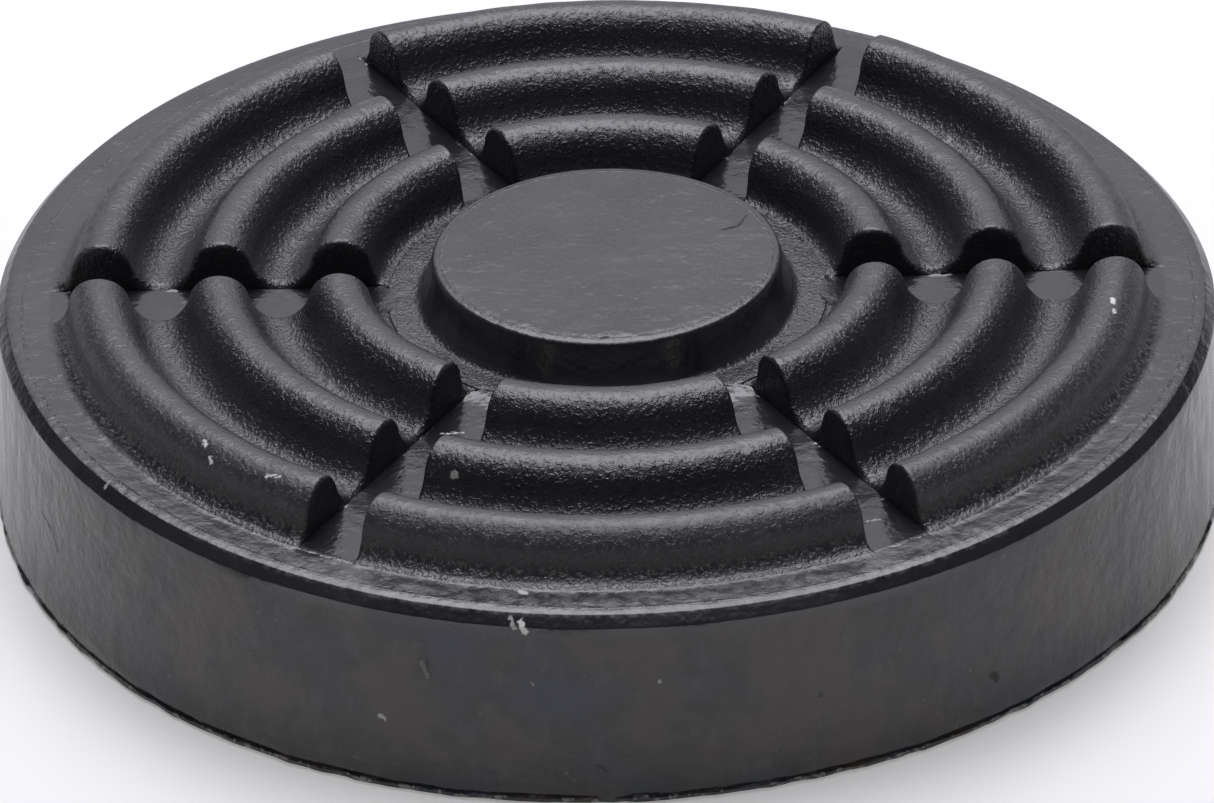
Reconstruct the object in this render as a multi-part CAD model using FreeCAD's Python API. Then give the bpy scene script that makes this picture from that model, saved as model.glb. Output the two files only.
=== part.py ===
import FreeCAD, Part
import math
import os

# Rubber pad for the arm of a vehicle lift: one moulded disc with ring ribs, a round
# boss and six channels in its top. Millimetres, +Z up, origin at the centre of the
# underside, one channel along +X.

# Boss
boss_top_diameter = 34.2    # where the flat top would meet the side with no rounding
boss_height = 4.8           # flat top above the rim
boss_side_lean = 16.0       # degrees from upright
boss_edge_radius = 0.4      # rounding of the top edge
boss_foot_radius = 1.0      # fillet where the side meets the inner floor
inner_floor_rise = 0.1      # floor between the boss and the first rib, above the rim
inner_floor_width = 4.55    # from the foot of the boss to the foot of the first rib

# Ring ribs
rib_count = 3
rib_pitch = 11.75           # from one rib's centre line to the next
rib_height = 5.0            # crest above the rim
rib_top_radius = 3.0        # round top of a rib, in section
valley_rise = 0.2           # bottom of a valley between ribs, above the rim
inner_flank_lean = 13.0     # degrees from upright, inside of the first rib
inner_foot_radius = 1.5     # fillet where the first rib meets the inner floor
outer_flank_lean = 12.0     # degrees from upright, outside of the last rib
outer_foot_radius = 2.5     # fillet where the last rib meets the rim

# Disc
rim_height = 20.3           # underside to the flat rim
rim_width = 5.2             # from the foot of the last rib to the bevel
rim_bevel_width = 0.95      # bevel round the top edge, measured along the rim
rim_bevel_height = 0.8      # bevel round the top edge, measured down the side
wall_draft = 1.0            # degrees that the side leans in towards the top
trim_width = 0.5            # trimmed bottom edge, measured along the underside
trim_height = 0.6           # trimmed bottom edge, measured up the side

# Channels across the ribs
channel_count = 6
channel_width = 6.0
channel_start_gap = 2.5     # from the foot of the boss to the inner end
channel_end_bulge = 1.3     # how far the inner end bows towards the boss
channel_fall = 0.4          # floor at the inner end, below the rim that it runs out into
cutter_clearance = 1.0      # how far a cutter stands past what it cuts


class Outline:
    """Half section of a turned body, drawn edge by edge as (radius, height) points."""

    def __init__(self, start):
        self.edges = []
        self.pen = start

    @staticmethod
    def vector(point):
        return FreeCAD.Vector(point[0], 0, point[1])

    def line_to(self, end):
        self.edges.append(Part.LineSegment(self.vector(self.pen), self.vector(end)).toShape())
        self.pen = end

    def arc_to(self, middle, end):
        arc = Part.Arc(self.vector(self.pen), self.vector(middle), self.vector(end))
        self.edges.append(arc.toShape())
        self.pen = end

    def rounded_corner(self, corner, beyond, radius):
        """Run to a corner and round it off, heading for a point beyond it."""
        back = unit(corner, self.pen)
        ahead = unit(corner, beyond)
        half_angle = math.acos(back[0] * ahead[0] + back[1] * ahead[1]) / 2
        setback = radius / math.tan(half_angle)
        bisector = unit((0, 0), (back[0] + ahead[0], back[1] + ahead[1]))
        sagitta_distance = radius / math.sin(half_angle) - radius
        self.line_to(step(corner, back, setback))
        self.arc_to(step(corner, bisector, sagitta_distance), step(corner, ahead, setback))

    def turned(self):
        """Close the outline on the axis and turn it about Z."""
        face = Part.Face(Part.Wire(self.edges))
        return face.revolve(FreeCAD.Vector(0, 0, 0), FreeCAD.Vector(0, 0, 1), 360)


def unit(start, end):
    """Direction of length one from one point to another."""
    length = math.hypot(end[0] - start[0], end[1] - start[1])
    return ((end[0] - start[0]) / length, (end[1] - start[1]) / length)


def step(point, direction, distance):
    return (point[0] + direction[0] * distance, point[1] + direction[1] * distance)


def on_circle(centre, radius, degrees):
    angle = math.radians(degrees)
    return step(centre, (math.cos(angle), math.sin(angle)), radius)


def down_flank(top, outward, lean, foot_height):
    """Where a leaning flank that starts at top reaches the height of its foot."""
    reach = (top[1] - foot_height) * math.tan(math.radians(lean))
    return (top[0] + outward * reach, foot_height)


# Heights
inner_floor = rim_height + inner_floor_rise
boss_top = rim_height + boss_height
rib_crest = rim_height + rib_height
rib_valley = rim_height + valley_rise
rib_centre = rib_crest - rib_top_radius

# Corners of the half section, from the boss outwards
boss_corner = (boss_top_diameter / 2, boss_top)
boss_foot = down_flank(boss_corner, 1, boss_side_lean, inner_floor)
inner_shoulder = on_circle((0, rib_centre), rib_top_radius, 180 - inner_flank_lean)
inner_foot = down_flank(inner_shoulder, -1, inner_flank_lean, inner_floor)
first_rib_radius = boss_foot[0] + inner_floor_width - inner_foot[0]
last_rib_radius = first_rib_radius + (rib_count - 1) * rib_pitch
outer_shoulder = on_circle((last_rib_radius, rib_centre), rib_top_radius, outer_flank_lean)
outer_foot = down_flank(outer_shoulder, 1, outer_flank_lean, rim_height)
top_radius = outer_foot[0] + rim_width + rim_bevel_width


def side_radius(height):
    """Radius of the side wall at a height above the underside."""
    return top_radius + (rim_height - height) * math.tan(math.radians(wall_draft))


def draw_disc(outline):
    """Underside, side wall and bevelled top edge, as far as the flat rim."""
    outline.line_to((side_radius(trim_height) - trim_width, 0))
    outline.line_to((side_radius(trim_height), trim_height))
    bevel_foot = rim_height - rim_bevel_height
    outline.line_to((side_radius(bevel_foot), bevel_foot))
    outline.line_to((top_radius - rim_bevel_width, rim_height))


def draw_ribs(outline):
    """Rim, then the ribs from the last one inwards, each rolling into the next valley."""
    outline.rounded_corner(outer_foot, outer_shoulder, outer_foot_radius)
    outline.line_to(outer_shoulder)

    half_pitch = rib_pitch / 2
    wave_height = rib_height - valley_rise
    # A crest arc and a valley arc meet without a kink when their radii add up to this.
    radius_sum = (half_pitch ** 2 + wave_height ** 2) / (2 * wave_height)
    valley_radius = radius_sum - rib_top_radius
    for number in range(rib_count - 1, 0, -1):
        crest_centre = (first_rib_radius + number * rib_pitch, rib_centre)
        valley_centre = (crest_centre[0] - half_pitch, rib_valley + valley_radius)
        next_centre = (crest_centre[0] - rib_pitch, rib_centre)
        falling = step(crest_centre, unit(crest_centre, valley_centre), rib_top_radius)
        rising = step(next_centre, unit(next_centre, valley_centre), rib_top_radius)
        outline.arc_to((crest_centre[0], rib_crest), falling)
        outline.arc_to((valley_centre[0], rib_valley), rising)

    shoulder = (first_rib_radius + inner_shoulder[0], inner_shoulder[1])
    foot = (first_rib_radius + inner_foot[0], inner_floor)
    outline.arc_to((first_rib_radius, rib_crest), shoulder)
    outline.rounded_corner(foot, boss_foot, inner_foot_radius)


def draw_boss(outline):
    """Inner floor, boss side and flat boss top, as far as the axis."""
    outline.rounded_corner(boss_foot, boss_corner, boss_foot_radius)
    outline.rounded_corner(boss_corner, (0, boss_top), boss_edge_radius)
    outline.line_to((0, boss_top))
    outline.line_to((0, 0))


def plane_face(points):
    """Flat face inside a closed outline of straight edges."""
    return Part.Face(Part.makePolygon([FreeCAD.Vector(*point) for point in points + points[:1]]))


def channel_cutter(angle):
    """What one channel takes out: its side view and its plan, each run through the other."""
    half_width = channel_width / 2
    start = boss_foot[0] + channel_start_gap
    shoulder = start + channel_end_bulge
    mouth = top_radius + cutter_clearance
    bottom = rim_height - channel_fall
    top = rim_height + max(rib_height, boss_height) + cutter_clearance

    # The floor rises from the inner end to the foot of the last rib, then follows the rim.
    side_view = plane_face([
        (start, -half_width, bottom),
        (outer_foot[0], -half_width, rim_height),
        (mouth, -half_width, rim_height),
        (mouth, -half_width, top),
        (start, -half_width, top),
    ]).extrude(FreeCAD.Vector(0, channel_width, 0))

    tip = FreeCAD.Vector(start, 0, bottom)
    inner_corners = [FreeCAD.Vector(shoulder, side * half_width, bottom) for side in (1, -1)]
    outer_corners = [FreeCAD.Vector(mouth, side * half_width, bottom) for side in (1, -1)]
    plan = Part.Wire([
        Part.Arc(inner_corners[0], tip, inner_corners[1]).toShape(),
        Part.LineSegment(inner_corners[1], outer_corners[1]).toShape(),
        Part.LineSegment(outer_corners[1], outer_corners[0]).toShape(),
        Part.LineSegment(outer_corners[0], inner_corners[0]).toShape(),
    ])
    cutter = side_view.common(Part.Face(plan).extrude(FreeCAD.Vector(0, 0, top - bottom)))
    cutter.rotate(FreeCAD.Vector(0, 0, 0), FreeCAD.Vector(0, 0, 1), angle)
    return cutter


def rubber_pad():
    outline = Outline((0, 0))
    draw_disc(outline)
    draw_ribs(outline)
    draw_boss(outline)
    body = outline.turned()
    cutters = [channel_cutter(number * 360 / channel_count) for number in range(channel_count)]
    return body.cut(cutters).removeSplitter()


os.makedirs("parts", exist_ok=True)
rubber_pad().exportStep("parts/rubber_pad.step")
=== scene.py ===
import math

import bpy
import numpy as np
from mathutils import Matrix, Vector, noise


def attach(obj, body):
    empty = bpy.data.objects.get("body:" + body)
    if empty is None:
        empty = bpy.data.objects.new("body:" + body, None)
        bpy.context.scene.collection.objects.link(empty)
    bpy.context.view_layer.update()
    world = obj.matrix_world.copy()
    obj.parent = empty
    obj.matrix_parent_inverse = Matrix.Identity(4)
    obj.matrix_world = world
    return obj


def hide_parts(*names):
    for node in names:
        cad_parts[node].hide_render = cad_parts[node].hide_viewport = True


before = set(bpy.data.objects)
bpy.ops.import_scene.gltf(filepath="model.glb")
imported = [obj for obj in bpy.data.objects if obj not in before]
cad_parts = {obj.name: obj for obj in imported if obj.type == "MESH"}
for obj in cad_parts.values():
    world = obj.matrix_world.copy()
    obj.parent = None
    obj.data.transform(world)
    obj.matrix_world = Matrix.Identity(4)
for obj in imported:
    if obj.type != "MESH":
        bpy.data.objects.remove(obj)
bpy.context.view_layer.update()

# Rubber pad for the arm of a vehicle lift, dressed for its photograph. Lengths below are
# in millimetres and MM turns them into Blender's metres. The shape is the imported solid's,
# drawn again as one fine mesh, so that it can carry the moulding's unevenness.
MM = 0.001

# Half section of the solid
BOSS_TOP_RADIUS = 17.1
BOSS_HEIGHT = 4.8
BOSS_SIDE_LEAN = 16.0
BOSS_EDGE_RADIUS = 0.6        # a little softer than the solid's
BOSS_FOOT_RADIUS = 1.0
INNER_FLOOR_RISE = 0.1
INNER_FLOOR_WIDTH = 4.55
RIB_COUNT = 3
RIB_PITCH = 11.75
RIB_HEIGHT = 5.0
RIB_TOP_RADIUS = 3.0
VALLEY_RISE = 0.2
INNER_FLANK_LEAN = 13.0
INNER_FOOT_RADIUS = 1.5
OUTER_FLANK_LEAN = 12.0
OUTER_FOOT_RADIUS = 2.5
RIM_HEIGHT = 20.3
RIM_WIDTH = 5.2
RIM_BEVEL_WIDTH = 0.95
WALL_DRAFT = 1.0
TRIM_WIDTH = 0.5
TRIM_HEIGHT = 0.6

# Channels
CHANNEL_COUNT = 6
CHANNEL_HALF_WIDTH = 3.0
CHANNEL_START_GAP = 2.5
CHANNEL_END_BULGE = 1.3
CHANNEL_FALL = 0.4

# Rounding that the moulding has and the solid does without
RIM_ROLL_WIDTH = 0.5         # the rim falls away this far inside the bevel
RIM_ROLL_LEAN = 17.0         # degrees from level, next to the bevel
RIM_ROLL_SHARE = 0.9         # the rounding at its start takes up this share of its width
BEVEL_LEAN = 46.0            # degrees from level
SHARP_EDGE_RADIUS = 0.25
BOSS_ROLL_WIDTH = 1.5        # the boss's top falls away this far inside its edge
BOSS_ROLL_DROP = 0.16
BOSS_ROLL_RADIUS = 6.0       # where it starts to fall away
NOSE_LIFT = 0.43             # the channels' floors rise by this much at their inner ends
NOSE_LIFT_REACH = 3.5
WALL_EDGE_WIDTH = 0.33       # rounded top edge of a channel wall, measured along the rib
WALL_EDGE_CHANGE = 0.14      # more than that on walls that face -Y, less on the others
SHALLOW_EDGE_WIDTH = 0.3     # more still where the wall is low, as at the end of a valley
LOW_WALL = 0.4
TALL_WALL = 1.3
EDGE_SHARE = 0.75            # at most this share of a wall is rounded off
LOW_EDGE_SHARE = 0.2         # and this much more of a low wall

# Flash: short beads that the mould's joint left along the foot of the channel walls
FLASH_HEIGHT = 0.17
FLASH_WIDTH = 0.10
FLASH_GAP = 0.12             # from the wall
FLASH_BEADS = (0.8, 7, 0.0, 0.4)           # patches of noise, as (size, seed, low, high)
FLASH_STRETCHES = (3.1, 17, -0.15, 0.15)

# Bottom edge: a ragged groove with a thin lip of flash under it
GROOVE_TOP = 1.35
GROOVE_FLOOR = 0.95
GROOVE_DEPTH = 0.18
GROOVE_PATCHES = (2.2, 18, -0.3, 0.2)
GROOVE_FILL = (0.05, 0.45)   # share of the groove that is filled, outside and inside a patch
GROOVE_MARGIN = 0.1
LIP_TOP = 0.7
LIP_FOOT = 0.3
LIP_REACH = 0.12
TORN_DEPTH = 0.05            # how far the edge is torn inwards on average
TORN_LIMITS = (-0.1, 0.4)

# The disc is a little out of round: it stands out by this much on average, and by some
# more at one, two and three lobes around it. At the front only the foot of the side does.
RIM_SWELL = 0.6
RIM_LOBES = ((1, 0.65, 180), (2, 0.30, 317), (3, 0.40, 0))
FRONT_START = 0.2            # sine of the azimuth
FRONT_END = -0.35
SWELL_START = 54.8
SWELL_END = 57.6

# Unevenness, as layers of noise of (height, size of its lumps, seed)
SEED_SHIFT = (17.31, 5.17, 9.71)
RIB_LUMPS = ((0.05, 7.0, 1), (0.035, 2.6, 2))
SIDE_WAVES = ((0.06, 9.0, 4),)
SIDE_STRETCH = (1, 1, 0.4)   # makes the waves taller than they are wide
SIDE_RIPPLES = ((0.015, 2.5, 5),)
FLOOR_RIPPLES = ((0.015, 3.5, 8),)
EDGE_RIPPLES = ((0.5, 1.3, 6),)            # as a share of the edge's width
TORN_RIPPLES = ((0.22, 1.6, 9), (0.15, 5.0, 10))

# Where the ribs' grain fades out and the side starts
GRAIN_REACH = 1.2            # past the foot of the last rib
GRAIN_FADE = 0.8
BOSS_GRAIN_FADE = 0.6        # to both sides of the boss's foot
SIDE_DROP = 1.2              # below the rim
SIDE_FADE = 0.7

# Density of the mesh, as steps along the section
FINE_STEP = 0.46             # along the ribs
BOSS_STEP = 1.8              # across the boss's top
BOSS_EDGE_STEP = 0.4
BOSS_EDGE_ARC_STEP = 0.1
SOFT_ARC_STEP = 0.25         # round the boss's roll-off and foot
SLOPE_STEP = 0.6
TIP_RUN = 0.5                # inside the channels' inner ends
TIP_STEP = 0.12
INNER_FOOT_STEP = 0.22
OUTER_FOOT_STEP = 0.3
RIM_ARC_STEP = 0.2
BEVEL_STEP = 0.3
SHARP_ARC_STEP = 0.07
SIDE_STEP = 1.3
GROOVE_STEP = 0.3
UNDERSIDE_STEP = 9
FEWEST_STEPS = 3             # round a corner or an arc

# Density of the mesh round the axis
SPAN_COLUMNS = 50            # between two channels
FLOOR_SHARES = (0.0, 0.35, 0.65, 0.86, 0.915, 0.945, 0.965, 0.985, 1.0)
WALL_SHARES = (0.3, 0.7)
EDGE_OFFSETS = (0.0, 0.05, 0.12, 0.22, 0.35, 0.55, 1.0)
NOSE_RINGS = 6
LEVEL_WALL = 0.02            # a channel wall lower than this is left out
ON_FLOOR = 1e-6              # a point lower than this is on the underside
WELD_DIGITS = 4              # points that agree to so many digits are one
SHARP_ANGLE = 50

# Camera, as fitted to the photograph, in degrees and millimetres
CAMERA_ELEVATION = 31.21
CAMERA_AZIMUTH = -0.014
CAMERA_ROLL = -1.26
CAMERA_DISTANCE = 1067.46
CAMERA_AIM = (-0.033, -10.515)
CAMERA_LENS = 320.94
CAMERA_SENSOR = 36
CAMERA_REACH = 100           # metres


def polar(radius, degrees):
    angle = math.radians(degrees)
    return np.array([radius * math.cos(angle), radius * math.sin(angle)])


def smooth_step(value, low, high):
    share = np.clip((value - low) / (high - low), 0, 1)
    return share * share * (3 - 2 * share)


class Section:
    """Half section as a run of (radius, height) points, from the axis outwards."""

    def __init__(self, start):
        self.points = [np.array(start, float)]

    def line_to(self, end, step):
        start, end = self.points[-1], np.array(end, float)
        count = max(1, round(np.linalg.norm(end - start) / step))
        self.points += [start + (end - start) * k / count for k in range(1, count + 1)]

    def sweep(self, centre, radius, start, end, step):
        """Arc round a centre, between two directions in degrees."""
        count = max(FEWEST_STEPS, round(abs(math.radians(end - start)) * radius / step))
        for k in range(1, count + 1):
            self.points.append(np.array(centre) + polar(radius, start + (end - start) * k / count))

    def round_corner(self, corner, beyond, radius, line_step, arc_step):
        """Run to a corner and round it off, heading for a point beyond it."""
        corner, beyond = np.array(corner, float), np.array(beyond, float)
        back = self.points[-1] - corner
        back /= np.linalg.norm(back)
        ahead = (beyond - corner) / np.linalg.norm(beyond - corner)
        half = math.acos(np.clip(back @ ahead, -1, 1)) / 2
        bisector = (back + ahead) / np.linalg.norm(back + ahead)
        centre = corner + bisector * radius / math.sin(half)
        start = corner + back * radius / math.tan(half)
        end = corner + ahead * radius / math.tan(half)
        self.line_to(start, line_step)
        turn = math.pi - 2 * half
        count = max(FEWEST_STEPS, round(turn * radius / arc_step))
        for k in range(1, count):
            share = math.tan(turn * (k / count - 0.5)) / math.tan(turn / 2)
            chord = start + (end - start) * (share + 1) / 2
            ray = (chord - centre) / np.linalg.norm(chord - centre)
            self.points.append(centre + ray * radius)
        self.points.append(end)

    def normals(self):
        """Outward normals of the points, from the edges on both sides of each."""
        points = np.array(self.points)
        edges = np.diff(points, axis=0)
        edges /= np.linalg.norm(edges, axis=1)[:, None]
        along = np.vstack([edges[:1], edges[:-1] + edges[1:], edges[-1:]])
        along /= np.linalg.norm(along, axis=1)[:, None]
        return np.column_stack([-along[:, 1], along[:, 0]])


# Heights and corners that follow from the sizes
inner_floor = RIM_HEIGHT + INNER_FLOOR_RISE
boss_top = RIM_HEIGHT + BOSS_HEIGHT
rib_crest = RIM_HEIGHT + RIB_HEIGHT
rib_valley = RIM_HEIGHT + VALLEY_RISE
rib_centre = rib_crest - RIB_TOP_RADIUS
boss_reach = (boss_top - inner_floor) * math.tan(math.radians(BOSS_SIDE_LEAN))
boss_foot_radius = BOSS_TOP_RADIUS + boss_reach
rib_foot_radius = boss_foot_radius + INNER_FLOOR_WIDTH
inner_lean = math.radians(INNER_FLANK_LEAN)
inner_reach = (rib_centre + RIB_TOP_RADIUS * math.sin(inner_lean) - inner_floor) * math.tan(inner_lean)
first_rib = rib_foot_radius + inner_reach + RIB_TOP_RADIUS * math.cos(inner_lean)
last_rib = first_rib + (RIB_COUNT - 1) * RIB_PITCH
outer_lean = math.radians(OUTER_FLANK_LEAN)
outer_reach = (rib_centre + RIB_TOP_RADIUS * math.sin(outer_lean) - RIM_HEIGHT) * math.tan(outer_lean)
outer_foot = last_rib + RIB_TOP_RADIUS * math.cos(outer_lean) + outer_reach
top_radius = outer_foot + RIM_WIDTH + RIM_BEVEL_WIDTH
side_foot = top_radius + (RIM_HEIGHT - TRIM_HEIGHT) * math.tan(math.radians(WALL_DRAFT))
channel_tip = boss_foot_radius + CHANNEL_START_GAP
channel_shoulder = channel_tip + CHANNEL_END_BULGE
nose_radius = (CHANNEL_END_BULGE ** 2 + CHANNEL_HALF_WIDTH ** 2) / (2 * CHANNEL_END_BULGE)
nose_centre = channel_tip + nose_radius
shoulder_radius = math.hypot(channel_shoulder, CHANNEL_HALF_WIDTH)


def draw_boss(section):
    """Flat top, side and inner floor; returns how many points lie before the channels' tips."""
    foot = (boss_foot_radius, inner_floor)
    edge = (BOSS_TOP_RADIUS, boss_top - BOSS_ROLL_DROP)
    roll_start = (BOSS_TOP_RADIUS - BOSS_ROLL_WIDTH, boss_top)
    section.round_corner(roll_start, edge, BOSS_ROLL_RADIUS, BOSS_STEP, SOFT_ARC_STEP)
    section.round_corner(edge, foot, BOSS_EDGE_RADIUS, BOSS_EDGE_STEP, BOSS_EDGE_ARC_STEP)
    rib_foot = (rib_foot_radius, inner_floor)
    section.round_corner(foot, rib_foot, BOSS_FOOT_RADIUS, SLOPE_STEP, SOFT_ARC_STEP)
    section.line_to((channel_tip - TIP_RUN, inner_floor), TIP_RUN)
    section.line_to((channel_tip, inner_floor), TIP_STEP)
    before_channels = len(section.points) - 1
    for ring in range(1, NOSE_RINGS):
        reach = (shoulder_radius - channel_tip) * (ring / NOSE_RINGS) ** 2
        section.points.append(np.array([channel_tip + reach, inner_floor]))
    return before_channels


def draw_ribs(section):
    """Foot and flank of the first rib, then every crest and valley to the last rib's flank."""
    shoulder = np.array([first_rib, rib_centre]) + polar(RIB_TOP_RADIUS, 180 - INNER_FLANK_LEAN)
    rib_foot = (rib_foot_radius, inner_floor)
    section.round_corner(rib_foot, shoulder, INNER_FOOT_RADIUS, FINE_STEP, INNER_FOOT_STEP)
    section.line_to(shoulder, FINE_STEP)
    half_pitch = RIB_PITCH / 2
    wave_height = RIB_HEIGHT - VALLEY_RISE
    valley_radius = (half_pitch ** 2 + wave_height ** 2) / (2 * wave_height) - RIB_TOP_RADIUS
    crossing = math.degrees(math.atan2(rib_valley + valley_radius - rib_centre, half_pitch))
    start = 180 - INNER_FLANK_LEAN
    for rib in range(RIB_COUNT - 1):
        centre = (first_rib + rib * RIB_PITCH, rib_centre)
        valley_centre = (centre[0] + half_pitch, rib_valley + valley_radius)
        section.sweep(centre, RIB_TOP_RADIUS, start, crossing, FINE_STEP)
        section.sweep(valley_centre, valley_radius, 180 + crossing, 360 - crossing, FINE_STEP)
        start = 180 - crossing
    section.sweep((last_rib, rib_centre), RIB_TOP_RADIUS, start, OUTER_FLANK_LEAN, FINE_STEP)


def draw_rim(section):
    """Flat rim that rolls off, then its bevel."""
    rim_edge = top_radius - RIM_BEVEL_WIDTH
    roll_slope = math.tan(math.radians(RIM_ROLL_LEAN))
    roll_end = (rim_edge, RIM_HEIGHT - RIM_ROLL_WIDTH * roll_slope)
    bevel_drop = RIM_BEVEL_WIDTH * math.tan(math.radians(BEVEL_LEAN))
    bevel_end = (top_radius, roll_end[1] - bevel_drop)
    roll_radius = RIM_ROLL_SHARE * RIM_ROLL_WIDTH / math.tan(math.radians(RIM_ROLL_LEAN / 2))
    roll_start = (rim_edge - RIM_ROLL_WIDTH, RIM_HEIGHT)
    outer_corner = (outer_foot, RIM_HEIGHT)
    section.round_corner(outer_corner, roll_start, OUTER_FOOT_RADIUS, FINE_STEP, OUTER_FOOT_STEP)
    section.round_corner(roll_start, roll_end, roll_radius, SLOPE_STEP, RIM_ARC_STEP)
    section.round_corner(roll_end, bevel_end, SHARP_EDGE_RADIUS, RIM_ARC_STEP, SHARP_ARC_STEP)
    side_end = (side_foot, GROOVE_TOP)
    section.round_corner(bevel_end, side_end, SHARP_EDGE_RADIUS, BEVEL_STEP, SHARP_ARC_STEP)


def draw_side(section):
    """Side, groove and lip above the trimmed edge, and the underside as far as the axis."""
    section.line_to((side_foot, GROOVE_TOP), SIDE_STEP)
    section.line_to((side_foot - GROOVE_DEPTH, GROOVE_FLOOR), GROOVE_STEP)
    section.line_to((side_foot + LIP_REACH, LIP_TOP), GROOVE_STEP)
    section.line_to((side_foot + LIP_REACH / 2, LIP_FOOT), GROOVE_STEP)
    section.line_to((side_foot - TRIM_WIDTH, 0), SLOPE_STEP)
    section.line_to((0, 0), UNDERSIDE_STEP)


def channel_half_angle(radius):
    """Half the angle that a channel takes up at a radius, in radians."""
    if radius <= channel_tip:
        return 0.0
    if radius < shoulder_radius:
        cosine = (radius ** 2 + nose_centre ** 2 - nose_radius ** 2) / (2 * radius * nose_centre)
        return math.acos(min(1.0, cosine))
    return math.asin(CHANNEL_HALF_WIDTH / radius)


def edge_angle(radius, offset):
    """Angle between a channel's wall and a line that runs an offset away from it."""
    radius = max(radius, channel_tip)
    reach = (CHANNEL_HALF_WIDTH + offset) / radius
    return math.asin(reach) - math.asin(CHANNEL_HALF_WIDTH / radius)


def sector_columns():
    """Columns from the middle of one channel to the next, as (kind, value, end)."""
    start = [("floor", share, 0) for share in FLOOR_SHARES]
    start += [("wall", share, 0) for share in WALL_SHARES]
    start += [("edge", offset, 0) for offset in EDGE_OFFSETS]
    span = [("span", k / (SPAN_COLUMNS + 1), 0) for k in range(1, SPAN_COLUMNS + 1)]
    finish = [(kind, value, 1) for kind, value, _ in reversed(start[1:])]
    return start + span + finish


def column_angles(columns, rings):
    """Angle of every column on every ring, all the way round."""
    sector = 2 * math.pi / CHANNEL_COUNT
    half_angle = np.array([channel_half_angle(radius) for radius in rings[:, 0]])
    edges = {s: np.array([edge_angle(radius, s) for radius in rings[:, 0]]) for s in EDGE_OFFSETS}
    last_edge = half_angle + edges[EDGE_OFFSETS[-1]]
    angle = np.zeros((len(rings), len(columns)))
    for place, (kind, value, end) in enumerate(columns):
        if kind == "floor":
            offset = np.arcsin(value * np.sin(half_angle))
        elif kind == "wall":
            offset = half_angle
        elif kind == "edge":
            offset = half_angle + edges[value]
        else:
            offset = last_edge + value * (sector - 2 * last_edge)
        angle[:, place] = sector - offset if end else offset
    return np.hstack([angle + number * sector for number in range(CHANNEL_COUNT)]), half_angle


def noise_over(points, size, seed):
    """Smooth noise from -1 to 1 with lumps about so many millimetres across."""
    shift = Vector([seed * part for part in SEED_SHIFT])
    return np.array([noise.noise(Vector(point) / size + shift) for point in points])


def uneven(points, layers):
    """Sum of the layers of noise."""
    return sum(height * noise_over(points, size, seed) for height, size, seed in layers)


def patches(points, size, seed, low, high):
    """Share from 0 to 1 that is high in patches."""
    return smooth_step(noise_over(points, size, seed), low, high)


def channel_distance(points):
    """How far points beside a channel lie from its outline, seen from above."""
    sector = 2 * math.pi / CHANNEL_COUNT
    angle = np.arctan2(points[:, 1], points[:, 0])
    local = (angle + sector / 2) % sector - sector / 2
    radius = np.hypot(points[:, 0], points[:, 1])
    along, across = radius * np.cos(local), np.abs(radius * np.sin(local))
    straight = across - CHANNEL_HALF_WIDTH
    nose = np.hypot(along - nose_centre, across) - nose_radius
    corner = np.hypot(along - channel_shoulder, across - CHANNEL_HALF_WIDTH)
    # Past the line from the nose's centre to its shoulder, the shoulder's corner is nearest.
    nose_reach = across * (nose_centre - channel_shoulder)
    beside_nose = (nose_centre - along) * CHANNEL_HALF_WIDTH > nose_reach
    rounded = np.where(beside_nose, nose, corner)
    return np.where(along >= channel_shoulder, straight, rounded), along


def mould_lumps(points, radius, on_top):
    """Unevenness of the ribs and of the side, in and out, and where the ribs' grain lies."""
    grained = smooth_step(outer_foot + GRAIN_REACH - radius, 0, GRAIN_FADE) * on_top
    grained *= smooth_step(radius - boss_foot_radius, -BOSS_GRAIN_FADE, BOSS_GRAIN_FADE)
    side = on_top * (points[:, 2] < RIM_HEIGHT - SIDE_DROP)
    waves = uneven(points * SIDE_STRETCH, SIDE_WAVES) + uneven(points, SIDE_RIPPLES)
    return grained * uneven(points, RIB_LUMPS) + side * waves, grained


def edge_drop(points, distance, depth, facing):
    """How far the top edge of a channel wall is rounded down."""
    low = 1 - smooth_step(depth, LOW_WALL, TALL_WALL)
    width = (WALL_EDGE_WIDTH + WALL_EDGE_CHANGE * facing) * (1 + uneven(points, EDGE_RIPPLES))
    width += SHALLOW_EDGE_WIDTH * low
    drop = np.minimum(width, (EDGE_SHARE + LOW_EDGE_SHARE * low) * depth)
    share = np.clip(1 - np.maximum(distance, 0) / width, 0, 1)
    return drop * ((1 - low) * (1 - np.sqrt(1 - share ** 2)) + low * share ** 2)


def floor_heights(points, along, share, is_floor):
    """Height of a channel's floor, without and with the flash beside its walls."""
    height = RIM_HEIGHT - CHANNEL_FALL * (outer_foot - along) / (outer_foot - channel_tip)
    height = np.minimum(height, RIM_HEIGHT)
    height += NOSE_LIFT * (1 - smooth_step(along, channel_tip, channel_tip + NOSE_LIFT_REACH))
    from_wall = (1 - share) * CHANNEL_HALF_WIDTH
    ridge = np.exp(-((from_wall - FLASH_GAP) / FLASH_WIDTH) ** 2)
    in_valley = (1 - np.cos(2 * math.pi * (along - first_rib) / RIB_PITCH)) / 2
    beads = patches(points, *FLASH_BEADS) * patches(points, *FLASH_STRETCHES) * in_valley
    return height, height + is_floor * (ridge * beads * FLASH_HEIGHT + uneven(points, FLOOR_RIPPLES))


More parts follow.
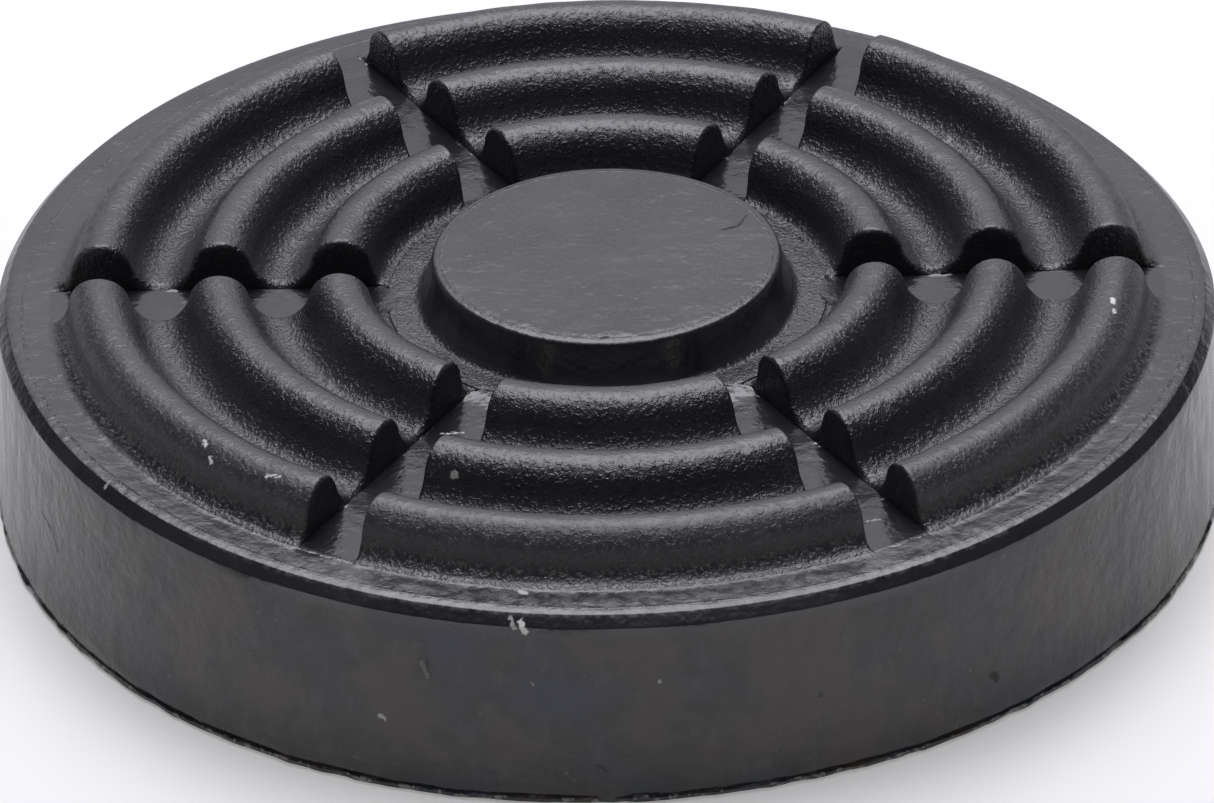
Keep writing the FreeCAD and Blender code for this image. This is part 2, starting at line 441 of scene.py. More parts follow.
def ragged_trim(points, radius):
    """How far the trimmed bottom edge is torn inwards, and how full the groove above it is."""
    height = points[:, 2]
    low = 1 - smooth_step(height, TRIM_HEIGHT, GROOVE_TOP)
    tear = low * np.clip(TORN_DEPTH + uneven(points, TORN_RIPPLES), *TORN_LIMITS)
    in_groove = (height > LIP_TOP + GROOVE_MARGIN) & (height < GROOVE_TOP - GROOVE_MARGIN)
    least, most = GROOVE_FILL
    tear -= GROOVE_DEPTH * in_groove * (least + (most - least) * patches(points, *GROOVE_PATCHES))
    return tear * (radius > side_foot - 2 * TRIM_WIDTH)


def out_of_round(radius, angle, height):
    """How far the rim and the side stand out from the true disc."""
    swell = RIM_SWELL + sum(size * np.cos(lobes * (angle - math.radians(peak)))
                            for lobes, size, peak in RIM_LOBES)
    at_back = 1 - smooth_step(-np.sin(angle), -FRONT_START, -FRONT_END)
    foot = np.clip(1 - height / RIM_HEIGHT, 0, 1)
    return swell * smooth_step(radius, SWELL_START, SWELL_END) * (at_back + (1 - at_back) * foot)


def turned(profile, angle):
    """Points of a profile, given as (radius, height), turned to the angles of its rows."""
    height = np.repeat(profile[:, 1:], angle.shape[1], axis=1)
    across = profile[:, :1]
    return np.stack([across * np.cos(angle), across * np.sin(angle), height], axis=2).reshape(-1, 3)


def fill_walls(grid, columns):
    """Put the points between the foot and the top edge of every channel wall."""
    for number in range(CHANNEL_COUNT):
        start = number * len(columns)
        for end in (0, 1):
            foot = start + columns.index(("floor", FLOOR_SHARES[-1], end))
            top = start + columns.index(("edge", 0.0, end))
            for share_up in WALL_SHARES:
                column = start + columns.index(("wall", share_up, end))
                grid[:, column] = grid[:, foot] + (grid[:, top] - grid[:, foot]) * share_up


def build_pad():
    """The whole pad as one mesh, from its section and its columns round the axis."""
    section = Section((0, boss_top))
    before_channels = draw_boss(section)
    draw_ribs(section)
    draw_rim(section)
    draw_side(section)
    rings = np.array(section.points)
    ring_numbers = np.arange(len(rings))
    columns = sector_columns()
    angle, half_angle = column_angles(columns, rings)
    kinds, values, ends = (np.array(part * CHANNEL_COUNT) for part in zip(*columns))
    is_floor, is_wall = kinds == "floor", kinds == "wall"
    floor_column = np.tile(is_floor, len(rings))

    flat, normal = turned(rings, angle), turned(section.normals(), angle)
    radius = np.repeat(rings[:, 0], angle.shape[1])
    underside = int(np.argmax(rings[:, 1] <= ON_FLOOR))
    on_top = np.repeat(ring_numbers < underside, angle.shape[1])
    facing = (np.cos(angle) * np.where(ends == 1, -1, 1)).ravel()
    distance, along = channel_distance(flat)
    shares = np.tile(np.where(is_floor, values, 1), len(rings))
    level, floor_height = floor_heights(flat, along, shares, floor_column)
    depth = np.where(on_top, flat[:, 2] - level, 0)
    depth[depth < LEVEL_WALL] = 0

    push, grained = mould_lumps(flat, radius, on_top)
    land = flat + normal * (push - edge_drop(flat, distance, depth, facing))[:, None]
    spread = out_of_round(radius, angle.ravel(), flat[:, 2]) - ragged_trim(flat, radius)
    land[:, :2] *= (1 + spread / np.maximum(radius, 1))[:, None]
    floor = np.column_stack([flat[:, :2], floor_height])

    in_channel = (depth > 0).reshape(angle.shape) & (half_angle > 0)[:, None]
    in_channel |= (ring_numbers == before_channels)[:, None]
    in_channel &= is_floor
    grid = np.where(in_channel.reshape(-1, 1), floor, land).reshape(*angle.shape, 3)
    fill_walls(grid, columns)

    side_start = RIM_HEIGHT - SIDE_DROP
    side = on_top * (1 - smooth_step(flat[:, 2], side_start - SIDE_FADE, side_start))
    channel = in_channel.ravel().astype(float)
    zones = {"grain": grained * ~floor_column, "channel": channel, "side": side}
    merged = (is_floor | is_wall) & np.roll(is_floor | is_wall, -1)
    return weld_grid(grid, merged, before_channels, zones)


def weld_grid(grid, merged, before_channels, zones):
    """Pad from a grid that closes on itself, with one vertex wherever its points fall together.

    The merged columns lie in one place before the channels start, so they have no faces there.
    """
    ring_count, total = grid.shape[:2]
    points = grid.reshape(-1, 3)
    rounded = np.round(points, WELD_DIGITS)
    _, first, inverse = np.unique(rounded, axis=0, return_index=True, return_inverse=True)
    row, column = np.meshgrid(np.arange(ring_count - 1), np.arange(total), indexing="ij")
    after = (column + 1) % total
    quads = np.stack([row * total + column, (row + 1) * total + column,
                      (row + 1) * total + after, row * total + after], axis=2)
    faces = []
    for corners in inverse.ravel()[quads[~(merged[column] & (row < before_channels))]]:
        face = [vertex for place, vertex in enumerate(corners) if vertex != corners[place - 1]]
        if len(set(face)) >= 3:
            faces.append(face)
    return make_body(points[first], faces, {name: values[first] for name, values in zones.items()})


def make_body(points, faces, zones):
    mesh = bpy.data.meshes.new("rubber_pad_body")
    mesh.from_pydata((points * MM).tolist(), [], faces)
    mesh.validate()
    for name, values in zones.items():
        layer = mesh.attributes.new(name, "FLOAT", "POINT")
        layer.data.foreach_set("value", values.astype(np.float32))
    mesh.shade_smooth()
    mesh.set_sharp_from_angle(angle=math.radians(SHARP_ANGLE))
    body = bpy.data.objects.new("rubber_pad_body", mesh)
    bpy.context.scene.collection.objects.link(body)
    return body


NUMBER_RESULTS = ("LENGTH", "DISTANCE", "DOT_PRODUCT")


class Shader:
    """Short ways to add and join a material's nodes."""

    def __init__(self, name):
        self.material = bpy.data.materials.new(name)
        self.material.use_nodes = True
        self.nodes = self.material.node_tree.nodes
        self.links = self.material.node_tree.links
        self.nodes.clear()

    def add(self, kind, settings=None, **inputs):
        node = self.nodes.new(kind)
        for key, value in (settings or {}).items():
            setattr(node, key, value)
        for key, value in inputs.items():
            self.feed(node.inputs[key], value)
        return node

    def feed(self, socket, value):
        if isinstance(value, bpy.types.NodeSocket):
            self.links.new(value, socket)
        else:
            socket.default_value = value

    def math(self, operation, *values, clamp=False):
        node = self.add("ShaderNodeMath", {"operation": operation, "use_clamp": clamp})
        for socket, value in zip(node.inputs, values):
            self.feed(socket, value)
        return node.outputs[0]

    def vector(self, operation, first, second=None, scale=None):
        node = self.add("ShaderNodeVectorMath", {"operation": operation})
        self.feed(node.inputs[0], first)
        if second is not None:
            self.feed(node.inputs[1], second)
        if scale is not None:
            self.feed(node.inputs["Scale"], scale)
        return node.outputs["Value"] if operation in NUMBER_RESULTS else node.outputs["Vector"]

    def chain(self, operation, values):
        """Sum, product or the like of several values."""
        result, *others = values
        for value in others:
            result = self.math(operation, result, value)
        return result

    def total(self, *values):
        return self.chain("ADD", values)

    def product(self, *values):
        return self.chain("MULTIPLY", values)

    def largest(self, *values):
        return self.chain("MAXIMUM", values)

    def noise(self, place, scale, detail, roughness):
        kind = "ShaderNodeTexNoise"
        return self.add(kind, Vector=place, Scale=scale, Detail=detail, Roughness=roughness).outputs["Fac"]

    def zone(self, name):
        """A zone that the mesh carries, as a share from 0 to 1."""
        return self.add("ShaderNodeAttribute", {"attribute_name": name}).outputs["Fac"]

    def ramp(self, value, low, high, to_low=0.0, to_high=1.0):
        node = self.add("ShaderNodeMapRange", {"interpolation_type": "SMOOTHSTEP"})
        for name, number in (("Value", value), ("From Min", low), ("From Max", high),
                             ("To Min", to_low), ("To Max", to_high)):
            self.feed(node.inputs[name], number)
        return node.outputs["Result"]

    def blend(self, share, first, second):
        """A number between two, by a share from 0 to 1."""
        node = self.add("ShaderNodeMix", {"data_type": "FLOAT"})
        for index, value in ((0, share), (2, first), (3, second)):
            self.feed(node.inputs[index], value)
        return node.outputs[0]

    def blend_colour(self, share, first, second):
        node = self.add("ShaderNodeMix", {"data_type": "RGBA"})
        for index, value in ((0, share), (6, first), (7, second)):
            self.feed(node.inputs[index], value)
        return node.outputs[2]

    def bump(self, height):
        """Normal of a relief whose height is in millimetres."""
        return self.add("ShaderNodeBump", Strength=1.0, Distance=MM, Height=height).outputs["Normal"]


def grey(value, tint=(1, 1, 1)):
    return (value * tint[0], value * tint[1], value * tint[2], 1)


# Marks that the pad has picked up. Each runs from one place to another, both as azimuth in
# degrees, radius and height, with a width and how pale (above 0) or dark (below 0) it is.
# On the side and the bevel every radius counts as SIDE_RADIUS, however far they stand out.
SIDE_RADIUS = 60.0
SIDE_START = 58.65           # a place farther out than this is on the side or the bevel
MARKS = {
    "front_edge_nick_left": ((260.4, SIDE_RADIUS, 19.8), (260.9, SIDE_RADIUS, 19.0), 0.16, 0.5),
    "front_edge_nick_right": ((261.4, SIDE_RADIUS, 19.5), (261.9, SIDE_RADIUS, 18.7), 0.24, 1.0),
    "rim_foot_chip": ((260.6, 55.2, 20.4), (261.4, 55.5, 20.3), 0.22, 0.7),
    "channel_crescent": ((236.8, 29.9, 20.2), (240.3, 28.9, 20.2), 0.20, 0.8),
    "rib_chip_front": ((248.4, 40.9, 23.2), (248.7, 40.9, 23.3), 0.32, 0.9),
    "rib_chip_right": ((347.1, 50.5, 25.2), (346.4, 50.6, 25.2), 0.26, 1.0),
    "rib_chip_right_low": ((345.2, 51.0, 25.1), (344.6, 51.1, 25.0), 0.18, 0.8),
    "rib_chip_left": ((220.7, 51.3, 24.8), (221.4, 51.6, 24.6), 0.24, 0.9),
    "rib_chip_left_low": ((222.8, 52.2, 24.2), (223.3, 52.5, 24.0), 0.20, 0.8),
    "rib_chip_left_front": ((230.5, 51.6, 24.7), (232.0, 51.3, 24.9), 0.18, 0.8),
    "rim_speck_right": ((299.4, 49.6, 20.2), (300.6, 49.9, 20.2), 0.12, 0.3),
    "rim_speck_left": ((214.4, SIDE_RADIUS, 20.0), (214.6, SIDE_RADIUS, 20.0), 0.12, 0.4),
    "boss_crack": ((19.5, 12.2, 25.1), (19.6, 13.9, 25.1), 0.18, -1.0),
    "boss_crack_end": ((19.6, 13.9, 25.1), (25.7, 15.4, 25.0), 0.16, -1.0),
    "boss_notch": ((267.5, 16.2, 25.0), (269.5, 16.1, 25.0), 0.20, -0.9),
    "side_pit_right": ((306.8, SIDE_RADIUS, 5.7), (307.3, SIDE_RADIUS, 5.1), 0.34, -0.8),
    "side_pit_front": ((288.8, SIDE_RADIUS, 9.4), (289.0, SIDE_RADIUS, 9.3), 0.20, -0.6),
    "side_pit_low": ((268.2, SIDE_RADIUS, 4.3), (269.1, SIDE_RADIUS, 3.8), 0.15, -0.6),
    "side_cut": ((252.7, SIDE_RADIUS, 14.6), (253.1, SIDE_RADIUS, 13.2), 0.13, -0.5),
    "side_cut_light": ((252.2, SIDE_RADIUS, 14.4), (252.8, SIDE_RADIUS, 12.8), 0.15, 0.12),
    "side_chip": ((248.2, SIDE_RADIUS, 7.8), (248.7, SIDE_RADIUS, 7.6), 0.18, 0.6),
    "side_speck": ((274.0, SIDE_RADIUS, 13.3), (274.1, SIDE_RADIUS, 13.2), 0.14, 0.4),
    "side_speck_left": ((262.4, SIDE_RADIUS, 13.2), (262.5, SIDE_RADIUS, 13.1), 0.10, 0.2),
    "left_crack_top": ((203.0, SIDE_RADIUS, 11.2), (205.3, SIDE_RADIUS, 10.4), 0.12, -0.7),
    "left_crack_foot": ((205.3, SIDE_RADIUS, 10.4), (206.9, SIDE_RADIUS, 8.8), 0.10, -0.7),
}
MARK_CORE = 0.7              # a mark is full up to this share of its width
MARK_EDGE = 1.6              # and gone at this one
TINY_SHARE = 1e-7

# Noises of the rubber, as (lumps to the millimetre, detail, roughness)
FLECK_NOISE = (2.3, 2.0, 0.6)
FINE_NOISE = (4.5, 1.0, 0.6)
COARSE_NOISE = (0.8, 2.0, 0.6)
SKIN_NOISE = (0.35, 3.0, 0.6)
CLOUD_NOISE = (0.10, 2.0, 0.55)
STREAK_NOISE = (0.5, 3.0, 0.6)
STREAK_STRETCH = (1, 1, 0.25)
RAGGED_NOISE = {"Scale": 2.2, "Detail": 1.0}
RAGGED_REACH = 0.6           # how far the edge of a mark wanders, from end to end

# Lines on the rubber
# At the front this beaded line is also painted pale, as a painted glint.
SEAM_RADIUS = 54.6           # beaded line that the mould's joint left round the last rib
SEAM_WIDTH = 0.42
SEAM_LEAST = 0.35            # share of it that is left between the beads
RIM_LINE_INSET = 1.0         # fine line inside the rim's edge
RIM_LINE_WIDTH = 0.18
BOSS_LINE_INSET = 0.8        # fine line inside the boss's edge
BOSS_LINE_WIDTH = 0.25

# Ramps over a noise, a radius or a height, as (from, to, value before, value after)
BEADS = (0.38, 0.60, 0.0, 1.0)
SPARSE_FLECKS = (0.44, 0.78, 0.0, 1.0)
CREST_WEAR = (rib_crest - 0.5, rib_crest - 0.05, 1.0, 0.4)
# Pale patches painted over the front of the rim alone, where they lighten it.
PALE_RIM_PATCHES = (0.42, 0.62, 0.0, 1.0)
PALE_RIM_RADII = (54.4, 55.0, 0.0, 1.0)
PALE_RIM_HEIGHTS = (RIM_HEIGHT - 0.5, RIM_HEIGHT - 0.2, 0.0, 0.6)
PALE_RIM_FRONT = (-48.0, -40.0, 1.0, 0.0)
SEAM_FRONT = (-42.0, -25.0, 1.0, 0.0)
SATIN_ROUGHNESS = (0.3, 0.7, 0.27, 0.34)
SATIN_MOTTLE = (0.3, 0.7, -0.02, 0.02)
SIDE_ROUGHNESS = (0.3, 0.7, 0.23, 0.35)
GRAIN_ROUGHNESS = (0.35, 0.65, 0.38, 0.31)
CHANNEL_ROUGHNESS = (0.3, 0.7, 0.19, 0.25)
FLANK_RADII = (last_rib, last_rib + 1.5, 0.0, 1.0)
FLANK_HEIGHTS = (RIM_HEIGHT + 0.7, RIM_HEIGHT + 1.6, 0.0, 1.0)
# Painted glints on the flecks of the grain.
GRAIN_GLINTS = (0.45, 0.7, 0.0, 0.45)
# Painted glints on flecks at the last rib's foot.
FOOT_GLINT_START = (outer_foot - 1.6, outer_foot + 0.6, 0.0, 1.0)
FOOT_GLINT_END = (SEAM_RADIUS, SEAM_RADIUS + 0.5, 1.0, 0.0)
FOOT_GLINT_FLECKS = (0.42, 0.68, 0.0, 0.9)
SMEAR_STREAKS = (0.42, 0.72, 0.0, 1.0)
SMEAR_PATCHES = (0.35, 0.65, 0.0, 0.5)
SIDE_SPECKS = (0.70, 0.76, 0.0, 1.0)
SIDE_SHADE = (0.35, 0.6, 1.0, 0.5)
# Painted glints on flecks of the flash lip at the bottom edge.
LIP_GLINT_HEIGHTS = (LIP_TOP, LIP_TOP + 0.15, 1.0, 0.0)
LIP_GLINT_PATCHES = (0.52, 0.60, 0.0, 1.0)
RUBBER_CLOUDS = (0.3, 0.7, 0.0, 1.0)
BROWN_CLOUDS = (0.48, 0.62, 0.0, 1.0)
BLUE_CLOUDS = (0.38, 0.48, 1.0, 0.0)

# Relief, in millimetres, and what the grain is made up of
GRAIN_RELIEF = 0.14
SPARSE_GRIT = 0.55
COARSE_GRIT = 0.35
FINE_GRIT = 0.16
SEAM_RELIEF = 0.07
LINE_RELIEF = 0.05
SKIN_RELIEF = 0.20
SIDE_RELIEF = 0.24
COARSE_RELIEF = 0.05

# Shares and colours
FLANK_DULLNESS = 0.16        # added to the roughness of the last rib's outer flank
MARK_DULLNESS = 0.5          # and to that of a mark
# Strength of the pale patches painted over the front of the rim.
PALE_RIM_SHARE = 2.0
# Strength of the painted glint along the mould's joint round the last rib.
SEAM_GLINT_SHARE = 1.6
# Share of the painted glints on the flash lip.
LIP_GLINT_SHARE = 0.35
TINT_SHARE = 0.7
RUBBER_IOR = 1.7
SHINE = 0.5
SIDE_SHINE = 0.40
DARK_RUBBER = grey(0.015, (1, 1, 1.3))
LIGHT_RUBBER = grey(0.020, (1.02, 1, 1.2))
SHADE = grey(0.004)
# Pale colour of the dust on the side, of the painted glints in the grain, at the last rib's foot and along
# the mould's joint, and of the pale patches on the front rim.
DUST_AND_GLINT = grey(0.085, (1.02, 1, 0.97))
# Pale colour of the marks, and of the painted glints on the flash lip.
PALE_MARK_AND_GLINT = grey(0.85, (1.02, 1, 0.96))
BROWN_TINT = (0.046, 0.030, 0.020, 1)
BLUE_TINT = (0.012, 0.018, 0.038, 1)


def mark_end(azimuth, radius, height):
    return (*polar(radius, azimuth), height)


def add_marks(s, place):
    """Where the pale and the dark marks lie, each from 0 to 1.

    Every mark moves the place that the next one reads by next to nothing. That makes the
    renderer work them out one after another; side by side they would overrun its stack.
    """
    shares = {True: 0.0, False: 0.0}
    for start, end, width, tone in MARKS.values():
        start, end = Vector(mark_end(*start)), Vector(mark_end(*end))
        along = end - start
        offset = s.vector("SUBTRACT", place, tuple(start))
        reach = s.vector("DOT_PRODUCT", offset, tuple(along))
        reach = s.math("DIVIDE", reach, along.length_squared, clamp=True)
        nearest = s.vector("SCALE", tuple(along), scale=reach)
        distance = s.vector("DISTANCE", offset, nearest)
        share = s.ramp(distance, width * MARK_CORE, width * MARK_EDGE, abs(tone), 0.0)
        shares[tone > 0] = s.largest(shares[tone > 0], share)
        nudge = s.vector("SCALE", nearest, scale=s.product(share, TINY_SHARE))
        place = s.vector("ADD", place, nudge)
    return shares[True], shares[False]


class Surface:
    """What the rubber's material works from: places in millimetres, zones and noises."""

    def __init__(self, s):
        self.place = s.vector("SCALE", s.add("ShaderNodeTexCoord").outputs["Object"], scale=1 / MM)
        self.grain = s.zone("grain")
        self.channel = s.zone("channel")
        self.side = s.zone("side")
        parts = s.add("ShaderNodeSeparateXYZ", Vector=self.place).outputs
        self.backwards, self.height = parts["Y"], parts["Z"]
        self.radius = s.vector("LENGTH", s.vector("MULTIPLY", self.place, (1, 1, 0)))
        self.fleck = s.noise(self.place, *FLECK_NOISE)
        self.fine = s.noise(self.place, *FINE_NOISE)
        self.coarse = s.noise(self.place, *COARSE_NOISE)
        self.skin = s.noise(self.place, *SKIN_NOISE)
        self.cloud = s.noise(self.place, *CLOUD_NOISE)
        self.streak = s.noise(s.vector("MULTIPLY", self.place, STREAK_STRETCH), *STREAK_NOISE)
        self.beads = s.ramp(self.fleck, *BEADS)
        self.sparse = s.ramp(self.fleck, *SPARSE_FLECKS)


def mark_place(s, surface):
    """Place that the marks read: it wanders a little, and the side counts as one radius."""
    wander = s.add("ShaderNodeTexNoise", Vector=surface.place, **RAGGED_NOISE).outputs["Color"]
    ragged = s.vector("ADD", surface.place, s.vector("SCALE", wander, scale=RAGGED_REACH))
    ragged = s.vector("SUBTRACT", ragged, (RAGGED_REACH / 2,) * 3)
    on_side = s.math("GREATER_THAN", surface.radius, SIDE_START)
    inwards = s.blend(on_side, 1.0, s.math("DIVIDE", SIDE_RADIUS, surface.radius))
    inwards = s.add("ShaderNodeCombineXYZ", X=inwards, Y=inwards, Z=1.0).outputs[0]
    return s.vector("MULTIPLY", ragged, inwards)


def ring_line(s, surface, centre, width, beads):
    """Thin line round the axis, broken into beads."""
    away = s.math("ABSOLUTE", s.math("SUBTRACT", surface.radius, centre))
    return s.product(s.ramp(away, 0.0, width, 1.0, 0.0), beads)


def seam_line(s, surface):
    """Where the mould's joint ran round the last rib, clear at the front alone; the colour paints a glint
    along it there.
    """
    line = ring_line(s, surface, SEAM_RADIUS, SEAM_WIDTH, s.blend(surface.beads, SEAM_LEAST, 1.0))
    return s.product(line, s.ramp(surface.backwards, *SEAM_FRONT))


def relief_height(s, surface, seam_and_glint):
    """Height of the fine relief: grain on the ribs, lines, and soft lumps elsewhere."""
    grit = s.total(s.product(surface.sparse, SPARSE_GRIT), s.product(surface.coarse, COARSE_GRIT),
                   s.product(surface.fine, FINE_GRIT))
    worn = s.product(s.ramp(surface.height, *CREST_WEAR), GRAIN_RELIEF)
    rim_line_radius = top_radius - RIM_BEVEL_WIDTH - RIM_LINE_INSET
    boss_line_radius = BOSS_TOP_RADIUS - BOSS_LINE_INSET
    rim_line = ring_line(s, surface, rim_line_radius, RIM_LINE_WIDTH, surface.beads)
    boss_line = ring_line(s, surface, boss_line_radius, BOSS_LINE_WIDTH, surface.beads)
    level_skin = s.math("SUBTRACT", surface.skin, 0.5)
    smooth = s.math("SUBTRACT", 1.0, surface.grain, clamp=True)
    return s.total(
        s.product(grit, surface.grain, worn),
        s.product(seam_and_glint, SEAM_RELIEF),
        s.product(s.total(rim_line, boss_line), LINE_RELIEF),
        s.product(level_skin, s.blend(surface.side, SKIN_RELIEF, SIDE_RELIEF)),
        s.product(surface.coarse, smooth, COARSE_RELIEF),
    )


def rubber_roughness(s, surface, marks):
    """Satin where the mould was smooth, duller on the grain and glossier in the channels."""
    satin = s.total(s.ramp(surface.cloud, *SATIN_ROUGHNESS), s.ramp(surface.fine, *SATIN_MOTTLE))
    satin = s.blend(surface.side, satin, s.ramp(surface.streak, *SIDE_ROUGHNESS))
    on_flank = s.product(s.ramp(surface.radius, *FLANK_RADII), s.ramp(surface.height, *FLANK_HEIGHTS))
    grained = s.total(s.ramp(surface.coarse, *GRAIN_ROUGHNESS), s.product(on_flank, FLANK_DULLNESS))
    land = s.blend(surface.grain, satin, grained)
    roughness = s.blend(surface.channel, land, s.ramp(surface.cloud, *CHANNEL_ROUGHNESS))
    return s.math("ADD", roughness, s.product(marks, MARK_DULLNESS), clamp=True)


def pale_front_rim(s, surface):
    """Pale patches painted over the front of the rim alone."""
    return s.product(s.ramp(surface.radius, *PALE_RIM_RADII), s.ramp(surface.coarse, *PALE_RIM_PATCHES),
                     s.ramp(surface.height, *PALE_RIM_HEIGHTS), s.ramp(surface.backwards, *PALE_RIM_FRONT))


def dust_and_glint_share(s, surface, seam_and_glint):
    """Painted glints in the grain, along the mould's joint and at the last rib's foot, pale patches over
    the front of the rim, and dusty smears and specks on the side.
    """
    # Pale flecks on the grain are painted glints.
    grain_glints = s.product(surface.sparse, surface.grain, s.ramp(surface.coarse, *GRAIN_GLINTS))
    # Pale patches painted over the front of the rim alone.
    on_front_rim = s.math("MULTIPLY", pale_front_rim(s, surface), PALE_RIM_SHARE, clamp=True)
    # Painted glint along the mould's joint round the last rib.
    seam_glint = s.math("MULTIPLY", seam_and_glint, SEAM_GLINT_SHARE, clamp=True)
    # Pale flecks at the last rib's foot are painted glints.
    foot_glints = s.product(s.ramp(surface.radius, *FOOT_GLINT_START), s.ramp(surface.radius, *FOOT_GLINT_END),
                        surface.grain, s.ramp(surface.fleck, *FOOT_GLINT_FLECKS))
    smears = s.product(s.ramp(surface.streak, *SMEAR_STREAKS), s.ramp(surface.skin, *SMEAR_PATCHES))
    specks = s.ramp(surface.coarse, *SIDE_SPECKS)
    return s.largest(grain_glints, on_front_rim, seam_glint, foot_glints, s.product(surface.side, smears),
                     s.product(surface.side, specks))


def rubber_colour(s, surface, dust_and_glints, pale, dark):
    """Near black, with painted shade over the side, its tints, dusty smears and specks, painted glints,
    pale patches on the front rim and the marks laid over it.
    """
    side, cloud = surface.side, surface.cloud
    # Pale flecks on the flash lip are painted glints of its torn edge.
    lip = s.product(s.ramp(surface.height, *LIP_GLINT_HEIGHTS), s.ramp(surface.coarse, *LIP_GLINT_PATCHES))
    lip = s.product(lip, side, LIP_GLINT_SHARE)
    layers = (
        (s.ramp(cloud, *RUBBER_CLOUDS), LIGHT_RUBBER),
        (s.product(side, s.ramp(surface.skin, *SIDE_SHADE)), SHADE),
        (dust_and_glints, DUST_AND_GLINT),
        (s.product(side, s.ramp(cloud, *BROWN_CLOUDS), TINT_SHARE), BROWN_TINT),
        (s.product(side, s.ramp(cloud, *BLUE_CLOUDS), TINT_SHARE), BLUE_TINT),
        (dark, SHADE),
        (s.largest(pale, lip), PALE_MARK_AND_GLINT),
    )
    colour = DARK_RUBBER
    for share, layer in layers:
        colour = s.blend_colour(share, colour, layer)
    return colour


def rubber():
    """Black moulded rubber: satin where the mould was smooth, grained on the ribs."""
    s = Shader("black_rubber")
    surface = Surface(s)
    pale, dark = add_marks(s, mark_place(s, surface))
    seam_and_glint = seam_line(s, surface)
    shader = s.add("ShaderNodeBsdfPrincipled", IOR=RUBBER_IOR)
    s.feed(shader.inputs["Normal"], s.bump(relief_height(s, surface, seam_and_glint)))
    s.feed(shader.inputs["Roughness"], rubber_roughness(s, surface, s.total(pale, dark)))
    dust_and_glints = dust_and_glint_share(s, surface, seam_and_glint)
    s.feed(shader.inputs["Base Color"], rubber_colour(s, surface, dust_and_glints, pale, dark))
    s.feed(shader.inputs["Specular IOR Level"], s.blend(surface.side, SHINE, SIDE_SHINE))
    s.links.new(shader.outputs[0], s.add("ShaderNodeOutputMaterial").inputs["Surface"])
    return s.material


# Light. Directions are measured from behind the pad, as the camera sees it.
FLOOR_COLOUR = 0.80
FLOOR_GLOW = 0.28
ROOM_LIGHT = 0.06
LAMP_COLOUR = (0.985, 0.98, 1.06)
HORIZON_LIGHT = 1.0
HORIZON_RISE = 0.037         # the room is bright up to here, as a height on a ball of radius one
FLOOR_REACH = 30.0           # metres
# Panels, as azimuth and rise in degrees, then distance, width and height in metres, radiance
PANELS = {
    "overhead_panel": (0, 68, 1.2, 0.9, 1.07, 4.2),
    "front_top_panel": (0, 102, 1.2, 0.9, 0.42, 1.3),
    "back_panel": (0, 24, 1.6, 1.95, 0.92, 0.80),
}


def seen_directly(s):
    """One for a ray from the camera or off a shiny or clear surface, and none for the rest."""
    path = s.add("ShaderNodeLightPath")
    seen = s.math("MAXIMUM", path.outputs["Is Camera Ray"], path.outputs["Is Glossy Ray"])
    return s.math("MAXIMUM", seen, path.outputs["Is Transmission Ray"])


def pale_floor():
    s = Shader("pale_floor")
    diffuse = s.add("ShaderNodeBsdfDiffuse", Color=grey(FLOOR_COLOUR))
    glow = s.add("ShaderNodeEmission", Color=grey(1.0))
    s.feed(glow.inputs["Strength"], s.math("MULTIPLY", seen_directly(s), FLOOR_GLOW))
    both = s.add("ShaderNodeAddShader")
    s.links.new(diffuse.outputs[0], both.inputs[0])
    s.links.new(glow.outputs[0], both.inputs[1])
    s.links.new(both.outputs[0], s.add("ShaderNodeOutputMaterial").inputs["Surface"])
    return s.material


def lay_floor():
    mesh = bpy.data.meshes.new("floor")
    sides = ((-1, -1), (1, -1), (1, 1), (-1, 1))
    corners = [(x * FLOOR_REACH, y * FLOOR_REACH, 0) for x, y in sides]
    mesh.from_pydata(corners, [], [(0, 1, 2, 3)])
    mesh.materials.append(pale_floor())
    floor = bpy.data.objects.new("floor", mesh)
    bpy.context.scene.collection.objects.link(floor)


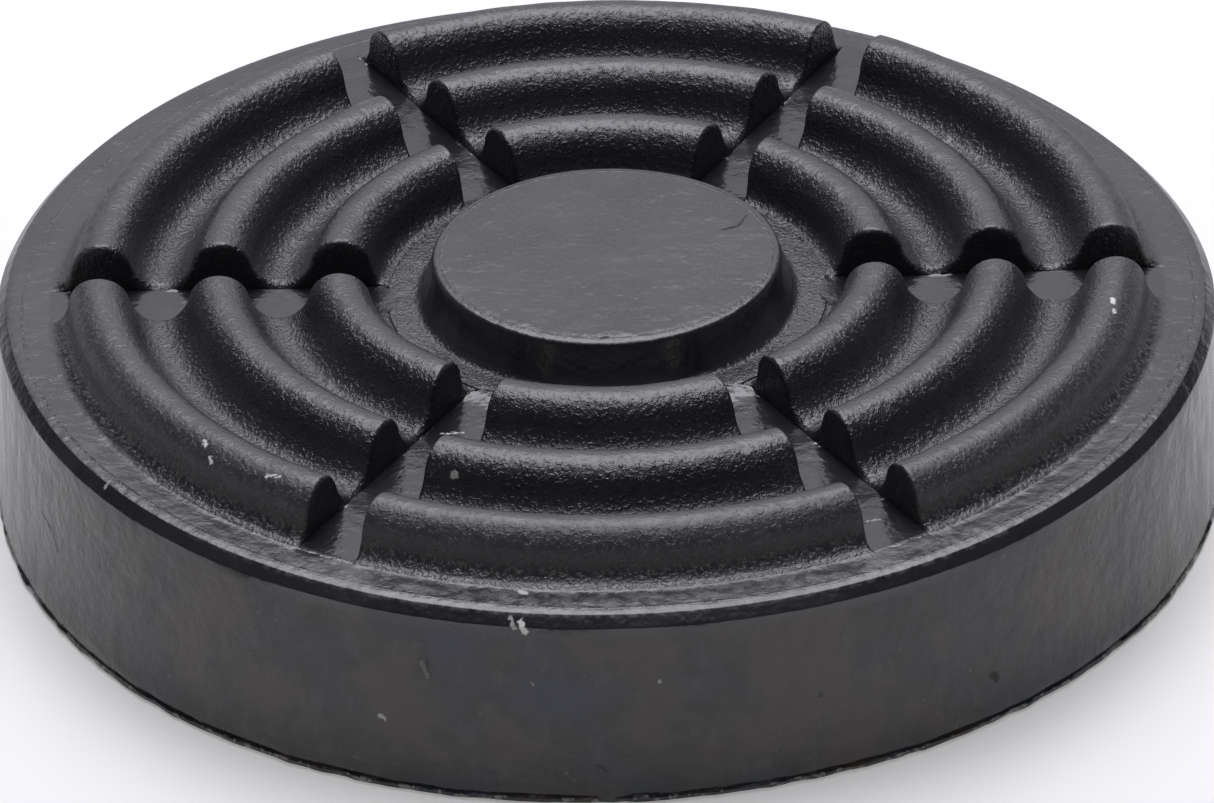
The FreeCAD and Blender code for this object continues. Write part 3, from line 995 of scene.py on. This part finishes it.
def light_room():
    world = bpy.data.worlds.new("room")
    bpy.context.scene.world = world
    world.use_nodes = True
    nodes, links = world.node_tree.nodes, world.node_tree.links
    nodes.clear()
    direction = nodes.new("ShaderNodeTexCoord").outputs["Generated"]
    split = nodes.new("ShaderNodeSeparateXYZ")
    links.new(direction, split.inputs[0])
    ramp = nodes.new("ShaderNodeMapRange")
    ramp.interpolation_type = "SMOOTHSTEP"
    for name, number in (("From Min", HORIZON_RISE), ("From Max", HORIZON_RISE * 2),
                         ("To Min", HORIZON_LIGHT), ("To Max", ROOM_LIGHT)):
        ramp.inputs[name].default_value = number
    links.new(split.outputs["Z"], ramp.inputs["Value"])
    background = nodes.new("ShaderNodeBackground")
    links.new(ramp.outputs["Result"], background.inputs["Strength"])
    links.new(background.outputs[0], nodes.new("ShaderNodeOutputWorld").inputs["Surface"])


def softbox(name, azimuth, elevation, distance, width, height, radiance):
    """Even panel that faces the pad, from an azimuth off +Y and an angle above the floor."""
    turn, rise = math.radians(azimuth), math.radians(elevation)
    level = math.cos(rise)
    towards = Vector((math.sin(turn) * level, math.cos(turn) * level, math.sin(rise)))
    lamp = bpy.data.lights.new(name, "AREA")
    lamp.shape = "RECTANGLE"
    lamp.size, lamp.size_y = width, height
    lamp.energy = radiance * math.pi * width * height
    lamp.color = LAMP_COLOUR
    panel = bpy.data.objects.new(name, lamp)
    panel.location = towards * distance
    panel.rotation_euler = towards.to_track_quat("Z", "Y").to_euler()
    panel.visible_camera = False
    bpy.context.scene.collection.objects.link(panel)


def place_camera():
    turn, dip, roll = (math.radians(a) for a in (CAMERA_AZIMUTH, CAMERA_ELEVATION, CAMERA_ROLL))
    right = Vector((math.cos(turn), math.sin(turn), 0))
    ahead = Vector((-math.sin(turn) * math.cos(dip), math.cos(turn) * math.cos(dip), -math.sin(dip)))
    up = right.cross(ahead)
    across = right * math.cos(roll) + up * math.sin(roll)
    upward = up * math.cos(roll) - right * math.sin(roll)
    place = Vector((0, 0, RIM_HEIGHT)) - ahead * CAMERA_DISTANCE
    place += across * CAMERA_AIM[0] + upward * CAMERA_AIM[1]
    camera = bpy.data.objects.new("camera", bpy.data.cameras.new("camera"))
    camera.data.lens = CAMERA_LENS
    camera.data.sensor_width = CAMERA_SENSOR
    camera.data.clip_end = CAMERA_REACH
    axes = Matrix((across, upward, -ahead)).transposed().to_4x4()
    camera.matrix_world = Matrix.Translation(place * MM) @ axes
    bpy.context.scene.collection.objects.link(camera)
    bpy.context.scene.camera = camera


bpy.context.scene.view_settings.view_transform = "Standard"
pad = build_pad()
pad.data.materials.append(rubber())
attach(pad, "root")
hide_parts("rubber_pad")
lay_floor()
light_room()
for panel_name, panel_values in PANELS.items():
    softbox(panel_name, *panel_values)
place_camera()
